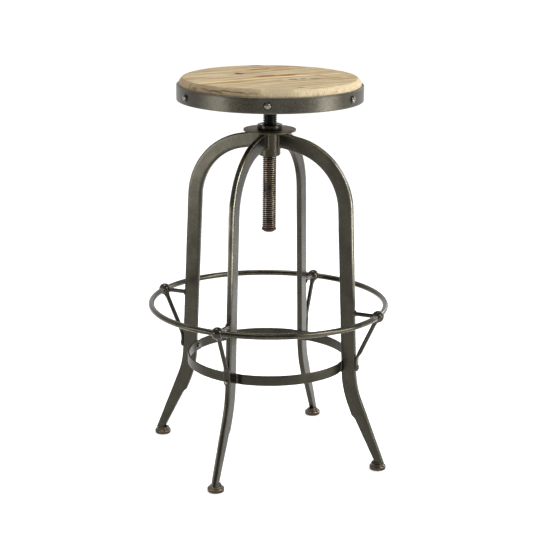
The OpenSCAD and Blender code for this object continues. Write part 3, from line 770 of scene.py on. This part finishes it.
def leg(name, azimuth, seed):
    """Flat bar along a leg's line. Its outer edges are painted paler as a highlight, most of all on the arch,
    except on the back left leg.
    """
    dull = 0.12
    shape = Shape()
    rows, wear = [], []
    for r, z, a, left in leg_line():
        inner = -LEG_W / 2
        if left < TAPER_L:
            inner = LEG_W / 2 - NOTCH_W + (NOTCH_W - TIP_W) * (1 - left / TAPER_L)
        elif left < TAPER_L + NOTCH_L:
            inner += smooth((TAPER_L + NOTCH_L - left) / NOTCH_L) * (LEG_W - NOTCH_W)
        section, worn = bar(inner, LEG_W / 2, LEG_T / 2, LEG_EDGE)
        if rows and len(section) != len(rows[0]):
            section, worn = resample(section, worn, len(rows[0]))
        side = heading(a + 90)
        rows.append(at(azimuth, r + section[:, 0] * side[0], section[:, 1], z + section[:, 0] * side[1]))
        # Painted highlight: the outer edges are painted paler, more so higher up, except on the back left
        # leg; all edges keep a little wear
        wear_and_highlight = dull if name == "back_left" else 0.3 + 0.6 * smooth((z - 330) / 90)
        wear.append(np.where(section[:, 0] > 0, wear_and_highlight, dull) * worn)
    shape.grid(rows, wear)
    shape.wave(0.22, 24, seed)
    shape.wave(0.07, 6, seed + 2)
    shape.piece("bar_" + name, "frame", "gunmetal", LEG_LOOK, "leg_" + name)


def on_hub(up, side):
    """Place on the hub's wall round a leg, as (radius, sideways, height)."""
    r = math.sqrt(HUB_R**2 - side * side) + 0.3
    return r, side, LEG_RISE_Z + up - math.tan(math.radians(LEG_FALL)) * (r - HUB_R)


def on_foot(up, side):
    """Place on top of a foot round its leg."""
    return FOOT_R + up - 1.1, side, NECK_TOP + 0.6


def on_hoop(up, side):
    """Place on the hoop's flat at a leg."""
    return LAND_R + 0.4, side, HOOP_Z + HOOP_H / 2 + up


for seed, (name, azimuth) in enumerate(CORNERS.items()):
    leg(name, azimuth, seed * 3)
    shape = Shape()
    half = LEG_W / 2 / math.cos(math.radians(LEG_FALL)) + 0.3
    shape.bead(rounded_path(azimuth, half, LEG_T / 2 + 0.3, 2.8, on_hub), 3.0, seed)
    shape.bead(rounded_path(azimuth, 8.6, LEG_T / 2, 2.4, on_foot), 2.5, seed + 4)
    shape.bead(rounded_path(azimuth, 8.2, LEG_T / 2 + 0.6, 2.4, on_hoop), 2.2, seed + 8)
    shape.piece("welds_" + name, "frame", "gunmetal", CROWN_LOOK)

# Feet
for name, azimuth in CORNERS.items():
    shape = Shape()
    outline, worn = fillet(
        [(0.01, RECESS_TOP), (RECESS_R, RECESS_TOP), (RECESS_R, DISC_Z), (DISC_R, DISC_Z), (DISC_R, DISC_TOP),
         (NECK_R, DISC_TOP), (NECK_R, NECK_TOP), (0.01, NECK_TOP)], [0, 0, 0.4, 2.1, 2.1, 0.9, 1.1, 0], 6)
    shape.lathe(outline, at(azimuth, FOOT_R, 0, 0), (0, 0, 1), np.array(worn) * 0.9, 40)
    shape.wave(0.06, 9, azimuth)
    shape.piece("disc_" + name, "frame", "worn_foot", FOOT_LOOK, "foot_" + name)

# Hoop: a strip on edge, with a flat at each leg
shape = Shape()
rows, wear = [], []
for a in np.arange(0, 360, 0.75):
    turn = (a - CORNERS["back_right"] + 45) % 90 - 45
    flat = LAND_R / math.cos(math.radians(turn))
    off = abs(flat * math.sin(math.radians(turn)))
    r = flat + (HOOP_R - flat) * smooth((off - LAND_HALF) / LAND_BEND)
    section, worn = bar(r - HOOP_T, r, HOOP_H / 2, 1.1)
    rows.append(at(a, section[:, 0], 0, HOOP_Z + HOOP_H / 2 + section[:, 1]))
    # The bends at the ends of each flat are painted paler: a painted highlight on the bends
    bend = math.exp(-((off - LAND_HALF) / (LAND_BEND / 2) - 1) ** 2)
    wear.append(np.maximum(worn, 0.8 * bend))
shape.grid(rows, wear, ring=True)
shape.wave(0.1, 14, 5)
shape.piece("hoop_strip", "frame", "gunmetal", HOOP_LOOK, "hoop")

# Foot rail, its brackets and braces
shape = Shape()
circle = np.radians(np.arange(0, 360, 18))
ring = [at(a, RAIL_R + ROD_R * np.cos(circle), 0, RAIL_Z + ROD_R * np.sin(circle))
        for a in np.arange(0, 360, 1.25)]
# The rod's upper half is painted paler: a painted highlight along its top
shape.grid(ring, np.clip(np.sin(circle), 0, 1) * 0.3, ring=True)
shape.wave(0.08, 30, 8)
shape.piece("rail_rod", "frame", "gunmetal", RAIL_LOOK, "foot_rail")


def bracket(name, azimuth, seed):
    """Drilled ball on the rail, its strut to the leg, and the weld bead there."""
    c, s = heading(azimuth)
    shape = Shape()
    hole = math.degrees(math.asin(BALL_HOLE_R / BALL_R))
    depth = BALL_R * math.cos(math.radians(hole))
    bore = BALL_HOLE_R - 0.3
    ball = [(BALL_R * math.sin(math.radians(q)), -BALL_R * math.cos(math.radians(q)))
            for q in np.linspace(hole, 180 - hole, 17)]
    worn = [0.9] + [0.0] * 15 + [0.9]
    ball += [(bore, depth - 0.7), (bore, 0), (bore, 0.7 - depth)]
    shape.lathe(ball, at(azimuth, RAIL_R, 0, RAIL_Z), (-s, c, 0), worn + [0, 0, 0], 32, ring=True)
    start = post_r(RAIL_Z) + FACE - 1
    end = RAIL_R - BALL_R + 1.2
    strut = []
    for t in np.linspace(0, 1, 15):
        x = start + (end - start) * t
        flare = max(1 - (x - start - 1) / 5, 0.6 - (end - 1 - x) / 5, 0)
        strut.append((STRUT_R + 2.2 * min(flare, 1.1) ** 2, x - start))
    shape.lathe(strut, at(azimuth, start, 0, RAIL_Z), (c, s, 0), 0, 24)
    bead_r = STRUT_R + 1.5
    bead = [at(azimuth, post_r(RAIL_Z) + FACE + 0.2, bead_r * math.cos(q), RAIL_Z + bead_r * math.sin(q))
            for q in np.radians(np.arange(0, 360, 15))]
    shape.bead(bead, 1.3, seed + 20, 2.2, 8)
    shape.piece("bracket_" + name, "frame", "gunmetal", BALL_LOOK, "rail_bracket_" + name)


def stay(name, azimuth, seed):
    """Brace: a round rod from a ball down to the leg, bent there and flattened to a tab with a round end.
    Its stations are distances past the bend."""
    low = np.array([post_r(RIVET_Z) + FACE + TAB_OFF, RIVET_Z])
    low += (STAY_BEND_UP - STAY_R) * heading(90 + SPLAY)
    rod = np.array([RAIL_R, RAIL_Z], float) - low
    length = np.linalg.norm(rod)
    up = rod / length
    down = heading(SPLAY - 90)
    angles = np.radians(np.arange(0, 360, 15))
    ca, sa = np.cos(angles), np.sin(angles)
    rows, wear = [], []
    for q in [*np.linspace(BALL_R - 1.5 - length, -14, 22), *np.linspace(-12, 24, 19),
              TAB_END - 0.6, TAB_END - 0.2, TAB_END]:
        if q < -STAY_BEND:
            p, d = low - up * q, -up
        elif q < STAY_BEND:
            t = (q + STAY_BEND) / (2 * STAY_BEND)
            a0, a1 = low + up * STAY_BEND, low + down * STAY_BEND
            p = (1 - t) ** 2 * a0 + 2 * t * (1 - t) * low + t * t * a1
            d = (1 - t) * (low - a0) + t * (a1 - low)
            d /= np.linalg.norm(d)
        else:
            p, d = low + down * q, down
        out = np.array([-d[1], d[0]])
        flat = float(smooth((q + 16) / 14))
        near = max(0.0, 1 - (length + q - BALL_R) / 5)
        wide = STAY_R + 2.3 * flat + 1.4 * near**1.4
        thick = STAY_R - 2.25 * flat + 1.4 * near**1.4
        if q > TAB_END - TAB_R:
            wide = math.sqrt(max(TAB_R**2 - (q - TAB_END + TAB_R) ** 2, 0.04))
        power = 2 / (2 + 4 * flat)
        x = thick * np.sign(ca) * np.abs(ca) ** power
        y = wide * np.sign(sa) * np.abs(sa) ** power
        rows.append(at(azimuth, p[0] + x * out[0], y, p[1] + x * out[1]))
        wear.append(0.25 + 0.5 * flat * (np.abs(sa) > 0.7) * (np.abs(ca) > 0.2))
    shape = Shape()
    shape.grid(rows, wear)
    shape.wave(0.08, 9, seed + 30)
    shape.piece("stay_" + name, "frame", "gunmetal", STAY_LOOK, "brace_" + name)


for seed, (name, azimuth) in enumerate(CORNERS.items()):
    bracket(name, azimuth, seed)
    stay(name, azimuth, seed)

shape = Shape()
tilt = heading(SPLAY)
for azimuth in CORNERS.values():
    axis = at(azimuth, tilt[0], 0, tilt[1])
    centre = at(azimuth, post_r(RIVET_Z) + FACE, 0, RIVET_Z)
    dome(shape, centre + axis * RIVET_OUT, axis, *RIVET_HEAD)
    dome(shape, centre - axis * RIVET_IN, -axis, *RIVET_HEAD)
shape.wave(0.1, 5, 3)
shape.piece("hoop_rivets", "frame", "rivet_steel", RIVET_LOOK, "leg_rivets")

shape = Shape()
shape.bead([at(a, BOSS_R + 0.4, 0, FLANGE_Z - 0.3) for a in range(0, 360, 6)], 1.6, 40)
shape.piece("boss_weld", "seat", "screw_steel", DARK_LOOK)
shape = Shape()
shape.bead([at(a, HUB_R + 0.4, 0, HUB_TOP - 0.3) for a in range(0, 360, 6)], 1.1, 41)
shape.piece("plate_weld", "frame", "gunmetal", CROWN_LOOK)

# Solids that stay as they are
for node, look in {"seat_flange": DARK_LOOK, "spindle_boss": DARK_LOOK, "stop_washer": SCREW_LOOK,
                   "stop_screw": RIVET_LOOK, "spindle_nut": DARK_LOOK, "cover_plate": PLATE_LOOK,
                   "hub": CROWN_LOOK, **{"foot_pad_" + name: PAD_LOOK for name in CORNERS}}.items():
    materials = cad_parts[node].data.materials
    materials.clear()
    materials.append(look)

# Floor, light and camera, in metres
half = 40
below = -0.0002
mesh = bpy.data.meshes.new("floor")
mesh.from_pydata([(-half, -half, below), (half, -half, below), (half, half, below), (-half, half, below)],
                 [], [(0, 1, 2, 3)])
paper = Look("floor_paper")
paper.put("Base Color", (0.7, 0.7, 0.695, 1))
paper.put("Roughness", 0.9)
paper.put("Specular IOR Level", 0.1)
paper.put("Emission Color", (1, 1, 1, 1))
paper.put("Emission Strength", 0.6)
mesh.materials.append(paper.material)
floor = add("floor", mesh)

# The studio is darker in front of the object than behind it
world = bpy.data.worlds.new("studio")
bpy.context.scene.world = world
world.use_nodes = True
nodes, links = world.node_tree.nodes, world.node_tree.links
nodes.clear()
sky = nodes.new("ShaderNodeBackground")
links.new(sky.outputs[0], nodes.new("ShaderNodeOutputWorld").inputs[0])
split = nodes.new("ShaderNodeSeparateXYZ")
links.new(nodes.new("ShaderNodeTexCoord").outputs["Generated"], split.inputs[0])
shade = nodes.new("ShaderNodeMapRange")
links.new(split.outputs[1], shade.inputs[0])
shade.interpolation_type = "SMOOTHSTEP"
for key, value in (("From Min", -1.0), ("From Max", 1.0), ("To Min", 0.35), ("To Max", 1.1)):
    shade.inputs[key].default_value = value
links.new(shade.outputs[0], sky.inputs["Strength"])


def soft_box(name, place, target, width, height, power):
    """Rectangular lamp at a place, turned to a target."""
    lamp = bpy.data.lights.new(name, "AREA")
    lamp.shape = "RECTANGLE"
    lamp.size = width
    lamp.size_y = height
    lamp.energy = power
    ob = add(name, lamp)
    ob.location = place
    ob.visible_camera = False
    ob.rotation_euler = (Vector(target) - Vector(place)).to_track_quat("-Z", "Y").to_euler()


soft_box("key", (2.2, -1.5, 2.2), (0, 0, 0.5), 1.6, 1.6, 64)
soft_box("left", (-1.38, -0.72, 0.47), (0, 0, 0.6), 0.6, 0.45, 7)
soft_box("right", (1.38, -0.53, 0.47), (0, 0, 0.6), 0.6, 0.5, 11)
soft_box("back", (1.5, 1.35, 1.0), (0, 0, 0.5), 0.8, 0.5, 5)
soft_box("low", (0.95, 0.8, 0.55), (0.95, 0.8, 0), 0.8, 0.8, 6)
soft_box("top", (-0.4, 0.5, 3.2), (0, 0, 0.5), 1.6, 1.6, 46)

# The camera looks down, a little to the right, and is rolled a little
CAMERA_AT = (0, -3.040553, 1.178626)
CAMERA_DOWN = 14.805
CAMERA_RIGHT = 0.05
CAMERA_ROLL = 0.478
camera = bpy.data.cameras.new("camera")
camera.sensor_width = 36
camera.lens = 107.425
camera.clip_end = 100
view = add("camera", camera)
bpy.context.scene.camera = view
pitch, yaw, roll = (math.radians(a) for a in (CAMERA_DOWN, CAMERA_RIGHT, CAMERA_ROLL))
ahead = Vector((math.sin(yaw) * math.cos(pitch), math.cos(yaw) * math.cos(pitch), -math.sin(pitch)))
right = Vector((math.cos(yaw), -math.sin(yaw), 0))
above = right.cross(ahead)
rolled_right = right * math.cos(roll) + above * math.sin(roll)
rolled_up = above * math.cos(roll) - right * math.sin(roll)
pose = Matrix((rolled_right, rolled_up, -ahead)).transposed().to_4x4()
pose.translation = Vector(CAMERA_AT)
view.matrix_world = pose

bpy.context.scene.view_settings.view_transform = "Standard"
